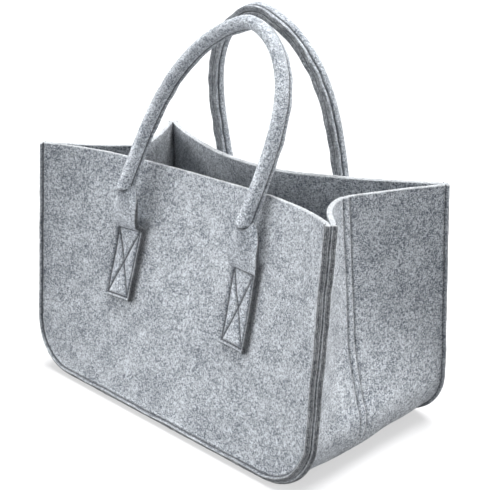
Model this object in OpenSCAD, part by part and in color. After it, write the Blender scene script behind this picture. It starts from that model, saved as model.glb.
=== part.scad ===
// Felt tote for knitting: two panels, one gusset strip that runs down one side, under the
// base and up the other, and two folded felt handles sewn on by flat tabs.
// X is the width, the front faces -Y, +Z is up and the bag stands on z = 0.

/* [Body] */
// Width between the two side seams
seam_w = 396; // [340:2:460]
// Height of the bag at its corners
body_h = 256; // [220:1:300]
// Depth between the seams at the base
base_d = 206; // [190:1:216]
// Depth between the seams at the top corners
top_d = 174; // [160:1:184]
// Radius of the seam around the two lower corners
corner_r = 50; // [35:1:60]
// Thickness of the felt
felt_t = 5; // [4:0.5:5]
// Width of the seam margin that is turned outward at 45 degrees
margin = 7; // [5:0.5:9]

/* [Slump] */
// How far the middle of each panel's top edge falls inward
panel_bow = 54; // [20:1:60]
// How far the front panel's bow leans to the left side, as a share
bow_skew = 0.12; // [0:0.02:0.2]
// How far the tip of each side's fold sinks below the corners
fold_drop = 6; // [0:0.5:10]
// How far the gusset swells outward at the rounded corners
corner_swell = 4; // [0:0.5:5]
// Flat width of felt between the side fold's two creases
crease_w = 10; // [6:1:14]
// How far the back panel's top corners are pulled towards the middle
back_pull = 8; // [0:1:12]

/* [Handles] */
// Distance from the bag's middle to each leg of a handle
leg_x = 86; // [70:1:100]
// Width of the handle strip at its flat tabs
strip_w = 36; // [34:1:38]
// Width of the strip along the arch, laid flat
arch_w = 31; // [29:1:34]
// Height of the handle's arch above the crease of its legs
arch_h = 187; // [150:1:200]
// Lean of the front handle towards the inside
front_lean = 22; // [10:1:24]
// Lean of the back handle towards the inside
back_lean = 14; // [8:1:16]
// Sideways slant of the front handle's arch, as a share of its height
front_slant = 0.12; // [0:0.01:0.15]
// Diameter of the filler cord inside the folded handle
core_d = 2.6; // [2:0.1:2.8]

/* [Tabs] */
// Height of the tab's lower end
tab_z = 105; // [95:1:115]
// Height of the top of the box stitch
box_top = 178; // [170:1:180]
// Height of the line where the strip flexes
hinge_z = 187; // [185:1:190]
// Width of the box stitch
box_w = 29; // [26:1:30]

/* [Hidden] */
gap = 0.4;                          // air between two felt faces that lie together
tip = margin / sqrt(2);             // reach of a margin along each axis
lift = tip + felt_t / sqrt(2);      // the seam's height above the rims
z_seam = lift;
wall_h = body_h - z_seam;
half_w = seam_w / 2;
rim_flat = 1.2;                     // flat worn on the rim that the bag stands on
crease_z = 226;                     // where the legs are creased
fold_turn = 193;                    // turn of the folded strip's section, in degrees
fold_r = 4;                         // bend radius of the strip's middle fibre
thread_w = 1;
thread_t = 0.6;
thread_gap = 0.2;                   // air between a thread and the felt under it
thread_in = 3;                      // from the inner corner of a margin to its thread
felt = [0.66, 0.68, 0.71];
felt_dark = [0.55, 0.57, 0.60];
thread_grey = [0.48, 0.49, 0.52];

// ---- general solids ----

// Two triangles for the four corners of a quad
function quad(a, b, c, d) = [[a, b, c], [a, c, d]];
// A list of lists joined into one
function flat(l) = [for (part = l) for (item = part) item];

// A closed solid between two grids of points of the same size. far lies behind near,
// seen with the rows going up and the columns going right.
module slab(near, far) {
    rows = len(near);
    cols = len(near[0]);
    n = rows * cols;
    function at(side, r, c) = side * n + r * cols + c;
    polyhedron(
        points = concat(flat(near), flat(far)),
        faces = concat(
            flat([for (r = [0:rows-2]) for (c = [0:cols-2])
                quad(at(0,r,c), at(0,r+1,c), at(0,r+1,c+1), at(0,r,c+1))]),
            flat([for (r = [0:rows-2]) for (c = [0:cols-2])
                quad(at(1,r,c), at(1,r,c+1), at(1,r+1,c+1), at(1,r+1,c))]),
            flat([for (c = [0:cols-2]) quad(at(0,0,c), at(0,0,c+1), at(1,0,c+1), at(1,0,c))]),
            flat([for (c = [0:cols-2])
                quad(at(0,rows-1,c), at(1,rows-1,c), at(1,rows-1,c+1), at(0,rows-1,c+1))]),
            flat([for (r = [0:rows-2]) quad(at(0,r,0), at(1,r,0), at(1,r+1,0), at(0,r+1,0))]),
            flat([for (r = [0:rows-2])
                quad(at(0,r,cols-1), at(0,r+1,cols-1), at(1,r+1,cols-1), at(1,r,cols-1))])));
}

// A closed solid through a row of rings, each with the same number of points
module sweep(rings) {
    rows = len(rings);
    k = len(rings[0]);
    function at(r, c) = r * k + c % k;
    polyhedron(
        points = flat(rings),
        faces = concat(
            flat([for (r = [0:rows-2]) for (c = [0:k-1])
                quad(at(r,c), at(r,c+1), at(r+1,c+1), at(r+1,c))]),
            [[for (c = [k-1:-1:0]) at(0,c)]],
            [[for (c = [0:k-1]) at(rows-1,c)]]));
}

// ---- the seam ----

// Half the depth between the seams at height z
function seam_y(z) = base_d/2 - (base_d - top_d)/2 * max(0, z - z_seam) / wall_h;

arc_steps = 7;
base_steps = 12;
side_steps = 9;
straight = half_w - corner_r;
side_z = z_seam + corner_r;

// The lower run of the seam from left to right: [x, z, normal x, normal z]
base_run = concat(
    [for (i = [0:arc_steps]) let (a = 90 * i / arc_steps)
        [-straight - corner_r * cos(a), side_z - corner_r * sin(a), -cos(a), -sin(a)]],
    [for (i = [1:base_steps-1]) [-straight + 2*straight*i/base_steps, z_seam, 0, -1]],
    [for (i = [arc_steps:-1:0]) let (a = 90 * i / arc_steps)
        [straight + corner_r * cos(a), side_z - corner_r * sin(a), cos(a), -sin(a)]]);
side_rows = [for (j = [1:side_steps]) side_z + (body_h - side_z) * j / side_steps];
// The whole seam: down the left side, along the base and up the right side
seam_run = concat(
    [for (j = [side_steps-1:-1:0]) [-half_w, side_rows[j], -1, 0]],
    base_run,
    [for (z = side_rows) [half_w, z, 1, 0]]);

// ---- panels ----

// The back corners' pull towards the middle: nothing at the front or at the base
function pull(p) = let (rise = max(0, min(1, (p[2] - z_seam) / wall_h)),
    back = max(0, min(1, p[1] / top_d + 0.5)))
    [p[0] * (1 - back_pull / half_w * rise * back), p[1], p[2]];

// How far a column's top falls inward, besides the lean of the corners. face is -1 for
// the front panel and 1 for the back one.
function bow(x, face) = let (u = x / half_w)
    face < 0 ? panel_bow * (1 - pow(abs(u), 2.5)) * (1 - bow_skew * u)
             : panel_bow * (1 - pow(abs(u), 1.9));

// Height of the seam under column x
function seam_z(x) = abs(x) <= straight ? z_seam
    : side_z - sqrt(max(0, corner_r*corner_r - pow(abs(x) - straight, 2)));

// The fall and the slant length of column x
function fall(x, zb, face) = seam_y(zb) - seam_y(body_h) + bow(x, face);
function slant(zb) = norm([body_h - zb, seam_y(zb) - seam_y(body_h)]);
// Sine of a column's slope
function lean_sin(x, zb, face) = fall(x, zb, face) / slant(zb);

// A point of the panel in column x, q of the way up, raised by out above its inner face
function panel_point(x, zb, q, face, out) =
    let (s = lean_sin(x, zb, face), c = sqrt(1 - s*s), l = slant(zb) * q)
    [x, face * (seam_y(zb) + gap - s*l + c*out), zb + c*l + s*out];

// The same by height instead of share of the way up
function panel_at(x, z, face, out) =
    let (zb = seam_z(x), s = lean_sin(x, zb, face), c = sqrt(1 - s*s))
    panel_point(x, zb, (z - zb) / (c * slant(zb)), face, out);

module panel(face) {
    cols = len(base_run);
    rows = side_steps + 1;
    n = rows * cols;
    miter = felt_t * tan(22.5);
    function edge(p) = [p[0] - miter*p[2], face * (seam_y(p[1]) + gap + felt_t), p[1] - miter*p[3]];
    inner = [for (j = [0:side_steps]) [for (p = base_run)
        panel_point(p[0], p[1], j/side_steps, face, 0)]];
    outer = [for (j = [0:side_steps]) [for (i = [0:cols-1]) let (p = base_run[i],
        side = i == 0 || i == cols-1, up = inner[j][i])
        j == 0 ? edge(p)
        : side ? edge([p[0], up[2], sign(p[0]), 0])
        : panel_point(p[0], p[1], j/side_steps, face, felt_t)]];
    ring = concat(
        [for (j = [side_steps:-1:1]) j*cols],
        [for (i = [0:cols-1]) i],
        [for (j = [1:side_steps]) j*cols + cols - 1]);
    k = len(ring);
    inner_list = flat(inner);
    // Margin: from the seam outward and away from the bag at 45 degrees
    function out_dir(i) = i < side_steps ? [-1, 0] : i >= side_steps + cols ? [1, 0]
        : [base_run[i-side_steps][2], base_run[i-side_steps][3]];
    function reach(i, a, b) = let (d = out_dir(i), p = inner_list[ring[i]])
        [p[0] + a*d[0], p[1] + face*b, p[2] + a*d[1]];
    tip_in = [for (i = [0:k-1]) reach(i, tip, tip)];
    tip_out = [for (i = [0:k-1]) reach(i, tip - felt_t/sqrt(2), tip + felt_t/sqrt(2))];
    function turned(f) = face < 0 ? f : [for (t = f) [t[2], t[1], t[0]]];
    polyhedron(
        points = [for (p = concat(flat(outer), inner_list, tip_out, tip_in)) pull(p)],
        faces = turned(concat(
            flat([for (r = [0:rows-2]) for (c = [0:cols-2]) let (a = r*cols + c)
                quad(a, a+cols, a+cols+1, a+1)]),
            flat([for (r = [0:rows-2]) for (c = [0:cols-2]) let (a = n + r*cols + c)
                quad(a, a+1, a+cols+1, a+cols)]),
            flat([for (c = [0:cols-2]) let (a = (rows-1)*cols + c)
                quad(a, n+a, n+a+1, a+1)]),
            flat([for (i = [0:k-2])
                quad(ring[i], ring[i+1], 2*n+i+1, 2*n+i)]),
            flat([for (i = [0:k-2])
                quad(n+ring[i+1], n+ring[i], 2*n+k+i, 2*n+k+i+1)]),
            flat([for (i = [0:k-2])
                quad(2*n+i, 2*n+i+1, 2*n+k+i+1, 2*n+k+i)]),
            quad(ring[0], 2*n, 2*n+k, n+ring[0]),
            quad(n+ring[k-1], 2*n+2*k-1, 2*n+k-1, ring[k-1]))));
}

module front_panel() { color(felt) panel(-1); }
module back_panel() { color(felt) panel(1); }

// ---- gusset ----

// Depth of the side's fold: the strip keeps its width while the seams lean together. The
// fold starts above the rounded corner.
fold_start = 8;
fold_full = 75;
function fold_in(z) = let (rise = max(0, min(1, (z - z_seam - fold_start) / (fold_full - fold_start))))
    rise * rise * (3 - 2*rise) * sqrt(max(0, pow(base_d/2, 2) - pow(seam_y(z), 2)));

// Share of the fold's depth at v, the share of the way from the middle to a seam. The
// front half is rounder than the back one.
function fold_share(v) = 1 - pow(abs(v), v < 0 ? 1.6 : 1.25);
fold_places = [-0.85, -0.65, -0.45, -0.25, 0.25, 0.45, 0.65, 0.85];

module gusset() {
    c = crease_w / 2;
    half = felt_t / sqrt(2);
    function place(p, y, n, drop) = pull([p[0] + n*p[2], y, p[1] + n*p[3] - drop]);
    function sink(p) = p[3] == 0 ? fold_drop * (p[1] - z_seam) / wall_h : 0;
    // The web swells a little around the rounded corners
    function round_out(p) = corner_swell * 2 * abs(p[2] * p[3]);
    // The web from seam to seam, raised by out above its inner face
    function web(p, out) = let (h = seam_y(p[1]), f = fold_in(p[1]), d = sink(p))
        [for (v = concat([for (q = fold_places) if (q < 0) q], [-c/h, c/h],
                         [for (q = fold_places) if (q > 0) q]))
            place(p, v*h, out + (round_out(p) - f) * fold_share(v), d * fold_share(v))];
    function inner(p) = let (h = seam_y(p[1])) concat(
        [place(p, -h - tip + rim_flat, tip + rim_flat, 0), place(p, -h - tip, tip, 0),
         place(p, -h, 0, 0)],
        web(p, 0),
        [place(p, h, 0, 0), place(p, h + tip, tip, 0),
         place(p, h + tip - rim_flat, tip + rim_flat, 0)]);
    function outer(p) = let (h = seam_y(p[1]), m = felt_t * tan(22.5)) concat(
        [place(p, -h - tip + half - rim_flat/2, tip + half, 0),
         place(p, -h - tip + half + rim_flat/2, tip + half, 0), place(p, -h + m, felt_t, 0)],
        web(p, felt_t),
        [place(p, h - m, felt_t, 0), place(p, h + tip - half - rim_flat/2, tip + half, 0),
         place(p, h + tip - half + rim_flat/2, tip + half, 0)]);
    color(felt_dark)
        slab([for (p = seam_run) outer(p)], [for (p = seam_run) inner(p)]);
}

// ---- seam threads ----

// A thin flat line that follows the seam, a along the margin and b off its face
function seam_line(face, a, b, layer) = [for (p = seam_run)
    let (u = (a + layer*b) / sqrt(2), v = (a - layer*b) / sqrt(2))
    pull([p[0] + u*p[2], face * (seam_y(p[1]) + (layer < 0 ? gap : 0) + v), p[1] + u*p[3]])];

// The needle thread lies on the panel's margin (layer -1), the bobbin thread on the
// gusset's (layer 1)
module seam_thread(face) {
    for (layer = [-1, 1]) {
        base = felt_t + (layer < 0 ? thread_gap : 3 * thread_gap);
        low = seam_line(face, thread_in, base, layer);
        high = seam_line(face, thread_in + thread_w, base, layer);
        low_up = seam_line(face, thread_in, base + thread_t, layer);
        high_up = seam_line(face, thread_in + thread_w, base + thread_t, layer);
        sweep([for (i = [0:len(low)-1]) face * layer > 0
            ? [low[i], high[i], high_up[i], low_up[i]]
            : [low_up[i], high_up[i], high[i], low[i]]]);
    }
}

module front_seam_thread() { color(thread_grey) seam_thread(-1); }
module back_seam_thread() { color(thread_grey) seam_thread(1); }

// ---- tabs ----

// The strip's inner face at the handle's flex line: its outer edge just clears the panel
function hinge_y(face) = panel_at(leg_x + strip_w/2, hinge_z, face, felt_t + 3)[1];
// The leg's distance from the middle, which follows the panel's pull
function leg_at(face) = pull([leg_x, hinge_y(face), hinge_z])[0];

// Point of a tab: u across, z up, out above its inner face. Above the box stitch the
// tab leaves the panel and turns parallel to X.
function tab_point(side, face, u, z, out) =
    let (on = pull(panel_at(side*leg_x + u, min(z, box_top), face, felt_t + gap + out)),
         free = [side*leg_at(face) + u, hinge_y(face) + face * out, hinge_z],
         t = max(0, (z - box_top) / (hinge_z - box_top)))
    z <= box_top ? on : on * (1-t) + free * t;

tab_rows = concat([for (i = [0:5]) tab_z + (box_top - tab_z) * i / 5],
    [(box_top + hinge_z) / 2, hinge_z]);

module tab(side, face) {
    function grid(out) = [for (z = tab_rows) [for (c = [-2:2])
        tab_point(side, face, -face * c * strip_w/4, z, out)]];
    color(felt) slab(grid(felt_t), grid(0));
}

module front_left_tab() { tab(-1, -1); }
module front_right_tab() { tab(1, -1); }
module back_left_tab() { tab(-1, 1); }
module back_right_tab() { tab(1, 1); }

// One straight line of stitching on a tab, between two points [u, z] of its face and
// stopping short of both
module stitch_line(side, face, from, to, short) {
    d = (to - from) / norm(to - from);
    across = [d[1], -d[0]] * thread_w / 2;
    steps = 4;
    function row(p, out) = [for (e = [-1, 1]) let (q = p + e * across)
        tab_point(side, face, -face * q[0], q[1], felt_t + out)];
    pts = [for (i = [0:steps]) from + d*short + (to - from - 2*d*short) * i / steps];
    slab([for (p = pts) row(p, thread_gap + thread_t)], [for (p = pts) row(p, thread_gap)]);
}

// A box with a cross inside it; where two lines meet, one of them stops short
module tab_stitch(side, face) {
    w = box_w / 2;
    low = tab_z + 3;
    high = box_top - 1;
    middle = [0, (low + high) / 2];
    color(thread_grey) {
        for (z = [low, high]) stitch_line(side, face, [-w, z], [w, z], 0);
        for (e = [-1, 1]) stitch_line(side, face, [e*w, low], [e*w, high], thread_w);
        stitch_line(side, face, [-w, low], [w, high], 2 * thread_w);
        for (e = [-1, 1])
            stitch_line(side, face, [e*w, middle[1] - e*(high - low)/2], middle, 2 * thread_w);
    }
}

module front_left_tab_stitch() { tab_stitch(-1, -1); }
module front_right_tab_stitch() { tab_stitch(1, -1); }
module back_left_tab_stitch() { tab_stitch(-1, 1); }
module back_right_tab_stitch() { tab_stitch(1, 1); }

// ---- handles ----

arch_steps = 15;
flare_steps = 7;

function lean(face) = face < 0 ? front_lean : back_lean;
function slant_x(face) = face < 0 ? front_slant : 0;
// Depth of the arch's plane at the crease
function arch_y(face) = face < 0 ? -79 : 81;

// The arch, a superellipse in its leaning plane; a runs from 0 to 180
function arch_point(face, a) =
    let (u = -leg_at(face) * sign(cos(a)) * pow(abs(cos(a)), 1.32), w = arch_h * pow(sin(a), 0.54))
    [u + slant_x(face) * w, arch_y(face) - face * w * sin(lean(face)), crease_z + w * cos(lean(face))];
// Angles that space the arch's points evenly
arch_angles = concat([for (i = [0:arch_steps]) 90 * pow(i/arch_steps, 1.75)],
    [for (i = [arch_steps-1:-1:0]) 180 - 90 * pow(i/arch_steps, 1.75)]);

// A leg's route from the flex line to the crease, as [point, fold share]
function leg(side, face) = let (top = arch_point(face, side < 0 ? 0 : 180),
    low = [side*leg_at(face), hinge_y(face) + face*felt_t/2, hinge_z + gap])
    [for (i = [0:flare_steps-1]) let (t = i/flare_steps)
        [low + (top - low) * t, pow(t, 0.8)]];

function route(face) = let (left = leg(-1, face), right = leg(1, face)) concat(
    left,
    [for (a = arch_angles) [arch_point(face, a), 1]],
    [for (i = [flare_steps-1:-1:0]) right[i]]);

function unit(v) = v / norm(v);
// Way the route runs at point i
function along(r, i) = unit(r[min(i+1, len(r)-1)][0] - r[max(i-1, 0)][0]);
// Outward way of the strip: the arch's own plane sets it, the flat ends face straight out
function outward(r, i, face) =
    let (t = along(r, i), f = r[i][1], tilt = f < 1 ? lean(face) * max(0, f*2 - 1) : lean(face),
         b = [0, face * cos(tilt), sin(tilt)])
    f == 0 ? [0, face, 0] : unit(b - (b*t) * t);

// The folded strip's section at arc length s from its middle: [across, inward, angle]
function section(s, f) = let (
    bend = fold_r * fold_turn/2 * PI/180,
    k = max(f, 0.001) * fold_turn/2 / bend,
    a = k * min(abs(s), bend), r = 180 / (PI * k), rest = max(0, abs(s) - bend))
    [sign(s) * (r * sin(a) + rest * cos(a)), r * (1 - cos(a)) + rest * sin(a), sign(s) * a];

// A point of the strip at route point i: s across, out above its middle fibre
function strip_point(r, i, face, s, out) = let (
    b = outward(r, i, face),
    a = f_cross(along(r, i), b),
    c = section(s, r[i][1]))
    r[i][0] + a * (c[0] + out * sin(c[2])) - b * (c[1] - out * cos(c[2]));
function f_cross(u, v) = unit([u[1]*v[2] - u[2]*v[1], u[2]*v[0] - u[0]*v[2], u[0]*v[1] - u[1]*v[0]]);

// Places across the strip as shares of its half width, closer together over the bend
strip_places = [-1, -0.72, -0.46, -0.31, -0.155, 0, 0.155, 0.31, 0.46, 0.72, 1];
// Half the strip's width where it's folded by share f
function half_strip(f) = (strip_w + (arch_w - strip_w) * f) / 2;

module handle(face) {
    r = route(face);
    function grid(out) = [for (i = [0:len(r)-1]) [for (s = strip_places)
        strip_point(r, i, face, s * half_strip(r[i][1]), out)]];
    color(felt) slab(grid(felt_t/2), grid(-felt_t/2));
}

// The filler cord runs inside the fold, from crease to crease
module handle_core(face) {
    r = route(face);
    color(thread_grey) sweep([for (i = [flare_steps:len(r)-1-flare_steps])
        let (b = outward(r, i, face), a = f_cross(along(r, i), b))
        [for (k = [0:7]) r[i][0] - b*fold_r + (a*cos(45*k) + b*sin(45*k)) * core_d/2]]);
}

// Two lines of thread, one on each face of the folded strip, 4 mm from its raw edges
module handle_thread(face) {
    r = route(face);
    s = arch_w/2 - 4.5;
    function line(e, out) = [for (i = [flare_steps:len(r)-1-flare_steps])
        [for (d = [-1, 1]) strip_point(r, i, face, e*s + d*thread_w/2, felt_t/2 + out)]];
    color(thread_grey) for (e = [-1, 1]) slab(line(e, thread_gap + thread_t), line(e, thread_gap));
}

module front_handle() { handle(-1); }
module back_handle() { handle(1); }
module front_handle_core() { handle_core(-1); }
module back_handle_core() { handle_core(1); }
module front_handle_thread() { handle_thread(-1); }
module back_handle_thread() { handle_thread(1); }

front_panel();
back_panel();
gusset();
front_seam_thread();
back_seam_thread();
front_left_tab();
front_right_tab();
back_left_tab();
back_right_tab();
front_left_tab_stitch();
front_right_tab_stitch();
back_left_tab_stitch();
back_right_tab_stitch();
front_handle();
back_handle();
front_handle_core();
back_handle_core();
front_handle_thread();
back_handle_thread();
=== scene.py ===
import math
from functools import partial
import bpy
import numpy as np
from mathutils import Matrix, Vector


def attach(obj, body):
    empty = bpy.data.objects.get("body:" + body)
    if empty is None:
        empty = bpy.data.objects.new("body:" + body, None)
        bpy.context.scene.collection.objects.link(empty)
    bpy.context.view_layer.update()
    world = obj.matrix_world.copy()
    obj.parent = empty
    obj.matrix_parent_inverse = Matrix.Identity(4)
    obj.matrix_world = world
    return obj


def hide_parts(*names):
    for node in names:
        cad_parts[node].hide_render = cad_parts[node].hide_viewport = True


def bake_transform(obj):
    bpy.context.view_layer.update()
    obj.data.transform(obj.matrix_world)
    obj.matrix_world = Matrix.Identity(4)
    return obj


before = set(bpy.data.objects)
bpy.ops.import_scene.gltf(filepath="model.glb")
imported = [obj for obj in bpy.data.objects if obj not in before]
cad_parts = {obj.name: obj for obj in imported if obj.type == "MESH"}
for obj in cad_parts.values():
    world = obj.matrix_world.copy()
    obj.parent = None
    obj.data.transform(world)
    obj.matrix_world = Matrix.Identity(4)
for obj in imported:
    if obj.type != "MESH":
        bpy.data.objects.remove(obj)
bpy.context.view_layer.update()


def placeObject(name, data):
    obj = bpy.data.objects.new(name, data)
    bpy.context.scene.collection.objects.link(obj)
    return obj


cameraView = {  # in metres and degrees
    "place": (0.6775, -0.6877, 0.4964),
    "turn": (71.184, -1.032, 44.158),
    "lens": 71.87,
}


def addCamera():
    data = bpy.data.cameras.new("camera")
    data.lens = cameraView["lens"]
    data.sensor_width = 36
    data.clip_start = 0.01
    cam = placeObject("camera", data)
    cam.location = cameraView["place"]
    cam.rotation_euler = [math.radians(a) for a in cameraView["turn"]]
    bpy.context.scene.camera = cam


addCamera()
print("camera placed")

# Node trees, and two shader groups: the felt's mixed fibres and a twisted yarn

def newTree(name, treeType, inputs, outputs):
    tree = bpy.data.node_groups.new(name, treeType)
    sockets = {}
    for label, kind, value in inputs:
        socket = tree.interface.new_socket(label, in_out="INPUT", socket_type="NodeSocket" + kind)
        if value is not None:
            socket.default_value = value
        sockets[label] = socket.identifier
    for label, kind in outputs:
        tree.interface.new_socket(label, in_out="OUTPUT", socket_type="NodeSocket" + kind)
    return tree, sockets, tree.nodes.new("NodeGroupInput"), tree.nodes.new("NodeGroupOutput")


def mathNode(tree, operation, a, b=None, c=None, clamp=False):
    node = tree.nodes.new("ShaderNodeMath")
    node.operation = operation
    node.use_clamp = clamp
    for i, value in enumerate((a, b, c)):
        if value is None:
            continue
        if isinstance(value, (int, float)):
            node.inputs[i].default_value = value
        else:
            tree.links.new(value, node.inputs[i])
    return node.outputs[0]


def noiseNode(tree, vector, scale, detail=2.0, roughness=0.5, factor=None):
    node = tree.nodes.new("ShaderNodeTexNoise")
    node.inputs["Detail"].default_value = detail
    node.inputs["Roughness"].default_value = roughness
    tree.links.new(vector, node.inputs["Vector"])
    if factor is None:
        node.inputs["Scale"].default_value = scale
    else:
        tree.links.new(mathNode(tree, "MULTIPLY", factor, scale), node.inputs["Scale"])
    return node


def mixNode(tree, amount, a, b, blend="MIX"):
    node = tree.nodes.new("ShaderNodeMix")
    node.data_type = "RGBA"
    node.blend_type = blend
    for socket, value in ((node.inputs[0], amount), (node.inputs[6], a), (node.inputs[7], b)):
        if isinstance(value, (int, float, tuple)):
            socket.default_value = value
        else:
            tree.links.new(value, socket)
    return node.outputs[2]


melangeLook = {
    "fibreScale": 1050, "fibreDetail": 4.0, "fibreRoughness": 0.72,
    "fibreWays": [  # turn and stretch of each of the three fibre noises
        ((0.3, 0.5, 0.2), (0.28, 1, 1)), ((1.2, -0.4, 0.9), (1, 0.24, 1)), ((-0.7, 1.1, -0.5), (1, 1, 0.3))],
    "warpScale": 260, "warp": 0.003,
    "pale": 2.1, "deep": 2.6,  # strength of light and of dark fibres
    "clumpScale": 330, "broadScale": 55, "driftScale": 95, "tint": 0.10,
    "plies": 23.0, "plyWave": 5.0, "plyDepth": 0.9,
    "pressedDepth": 0.88,
    "looseFibre": (0.92, 0.96, 1.0, 1),
}


def buildMelange():
    # Fibres lie every way in the felt, so three stretched noises are laid across each other
    look = melangeLook
    tree, _, source, sink = newTree("feltMelange", "ShaderNodeTree", [
        ("Coordinates", "Vector", None),
        ("Scale", "Float", 1.0),
        ("Contrast", "Float", 1.0),
        ("Clumps", "Float", 0.5),
        ("Dark", "Color", (0.1, 0.1, 0.1, 1)),
        ("Middle", "Color", (0.4, 0.4, 0.4, 1)),
        ("Light", "Color", (0.8, 0.8, 0.8, 1)),
        ("Pressed", "Float", 0.0),
        ("Rim", "Float", 0.0),
        ("Ply", "Float", 0.0),
    ], [("Color", "Color"), ("Height", "Float"), ("Roughness", "Float")])
    calc, given = partial(mathNode, tree), source.outputs
    place = given["Coordinates"]
    warp = noiseNode(tree, place, look["warpScale"], 1.0)
    centred = tree.nodes.new("ShaderNodeVectorMath")
    centred.operation = "SUBTRACT"
    tree.links.new(warp.outputs["Color"], centred.inputs[0])
    centred.inputs[1].default_value = (0.5, 0.5, 0.5)
    bent = tree.nodes.new("ShaderNodeVectorMath")
    bent.operation = "MULTIPLY_ADD"
    tree.links.new(centred.outputs[0], bent.inputs[0])
    bent.inputs[1].default_value = [look["warp"]] * 3
    tree.links.new(place, bent.inputs[2])
    streaks = []
    for turn, stretch in look["fibreWays"]:
        mapping = tree.nodes.new("ShaderNodeMapping")
        mapping.inputs["Rotation"].default_value = turn
        mapping.inputs["Scale"].default_value = stretch
        tree.links.new(bent.outputs[0], mapping.inputs["Vector"])
        streak = noiseNode(tree, mapping.outputs[0], look["fibreScale"], look["fibreDetail"],
                           look["fibreRoughness"], given["Scale"])
        streaks.append(streak.outputs["Fac"])
    highest = calc("MAXIMUM", calc("MAXIMUM", streaks[0], streaks[1]), streaks[2])
    lowest = calc("MINIMUM", calc("MINIMUM", streaks[0], streaks[1]), streaks[2])
    pale = calc("MULTIPLY", calc("SUBTRACT", highest, 0.58), look["pale"])
    deep = calc("MULTIPLY", calc("SUBTRACT", 0.42, lowest), look["deep"])
    clump = calc("SUBTRACT", noiseNode(tree, place, look["clumpScale"], 3.0, 0.65).outputs["Fac"], 0.5)
    broad = calc("SUBTRACT", noiseNode(tree, place, look["broadScale"], 4.0, 0.7).outputs["Fac"], 0.5)
    mottle = calc("MULTIPLY_ADD", clump, 1.5, calc("MULTIPLY", broad, 1.1))
    mottle = calc("MULTIPLY", mottle, given["Clumps"])
    fibre = calc("SUBTRACT", pale, deep)
    tone = calc("MULTIPLY", calc("ADD", fibre, mottle), given["Contrast"])
    tone = calc("ADD", tone, 0.5, clamp=True)
    lower = calc("MULTIPLY", tone, 2.0, clamp=True)
    upper = calc("SUBTRACT", calc("MULTIPLY", tone, 2.0), 1.0, clamp=True)
    shade = mixNode(tree, lower, given["Dark"], given["Middle"])
    shade = mixNode(tree, upper, shade, given["Light"])
    # A faint drift of colour
    drift = noiseNode(tree, place, look["driftScale"], 2.0, 0.6)
    tint = mixNode(tree, look["tint"], (1, 1, 1, 1), drift.outputs["Color"], "OVERLAY")
    shade = mixNode(tree, 0.5, shade, tint, "MULTIPLY")
    # A cut edge splits into plies, dark lines that run along it
    black = (0, 0, 0, 1)
    wavy = noiseNode(tree, place, 120, 2.0, 0.6).outputs["Fac"]
    wavy = calc("MULTIPLY_ADD", wavy, look["plyWave"], calc("MULTIPLY", given["Ply"], look["plies"]))
    split = calc("POWER", calc("MULTIPLY_ADD", calc("SINE", wavy), 0.5, 0.5), 2.5)
    split = calc("MULTIPLY", split, calc("GREATER_THAN", given["Ply"], 0.02))
    split = calc("MULTIPLY", split, look["plyDepth"])
    shade = mixNode(tree, split, shade, mixNode(tree, 0.6, given["Dark"], black))
    # Felt is darker where stitches press it, partly from pressed fibres and partly painted shade in grooves,
    # creases, on tab edges and beside tabs; and paler along a cut, partly loose fibres and partly a painted
    # highlight
    pressed = calc("MULTIPLY", given["Pressed"], look["pressedDepth"], clamp=True)
    shade = mixNode(tree, pressed, shade, mixNode(tree, 0.8, given["Dark"], black))
    # Paler along a cut: partly loose fibres, partly a painted highlight
    rim = calc("MULTIPLY", given["Rim"], calc("MULTIPLY_ADD", tone, 0.5, 0.55), clamp=True)
    shade = mixNode(tree, rim, shade, mixNode(tree, 0.8, given["Light"], look["looseFibre"]))
    height = calc("ADD", tone, calc("MULTIPLY", clump, 0.4))
    height = calc("SUBTRACT", height, calc("MULTIPLY", split, 1.5))
    roughness = calc("ADD", calc("MULTIPLY", tone, -0.12), 0.97)
    for label, value in (("Color", shade), ("Height", height), ("Roughness", roughness)):
        tree.links.new(value, sink.inputs[label])
    return tree


def buildYarn():
    # Twisted plies: bands that run round the thread, broken by a little fuzz
    tree, _, source, sink = newTree("yarnTwist", "ShaderNodeTree", [
        ("Coordinates", "Vector", None),
        ("Twist", "Float", 1.0),
        ("Base", "Color", (0.4, 0.4, 0.4, 1)),
        ("Shadow", "Color", (0.1, 0.1, 0.1, 1)),
    ], [("Color", "Color"), ("Height", "Float")])
    calc, given = partial(mathNode, tree), source.outputs
    place = given["Coordinates"]
    wave = tree.nodes.new("ShaderNodeTexWave")
    wave.bands_direction = "DIAGONAL"
    wave.inputs["Distortion"].default_value = 2.5
    wave.inputs["Detail"].default_value = 2.0
    tree.links.new(calc("MULTIPLY", given["Twist"], 520), wave.inputs["Scale"])
    tree.links.new(place, wave.inputs["Vector"])
    fuzz = noiseNode(tree, place, 1500, 2.0, 0.6).outputs["Fac"]
    height = calc("MULTIPLY_ADD", wave.outputs["Fac"], 0.7, calc("MULTIPLY", fuzz, 0.5), clamp=True)
    shade = mixNode(tree, height, given["Shadow"], given["Base"])
    tree.links.new(shade, sink.inputs["Color"])
    tree.links.new(height, sink.inputs["Height"])
    return tree


melange = buildMelange()
yarn = buildYarn()

feltLook = {
    "dark": (0.100, 0.118, 0.148, 1),
    "middle": (0.332, 0.362, 0.402, 1),
    "light": (0.68, 0.72, 0.76, 1),
    "contrast": 2.45,
    "sheen": 0.3,
    "bump": 0.55,
}


def startMaterial(name, roughness):
    mat = bpy.data.materials.new(name)
    mat.use_nodes = True
    tree = mat.node_tree
    shader = tree.nodes["Principled BSDF"]
    shader.inputs["Roughness"].default_value = roughness
    shader.inputs["Specular IOR Level"].default_value = 0.25
    coordinates = tree.nodes.new("ShaderNodeTexCoord").outputs["Object"]
    return mat, tree, shader, coordinates


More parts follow.
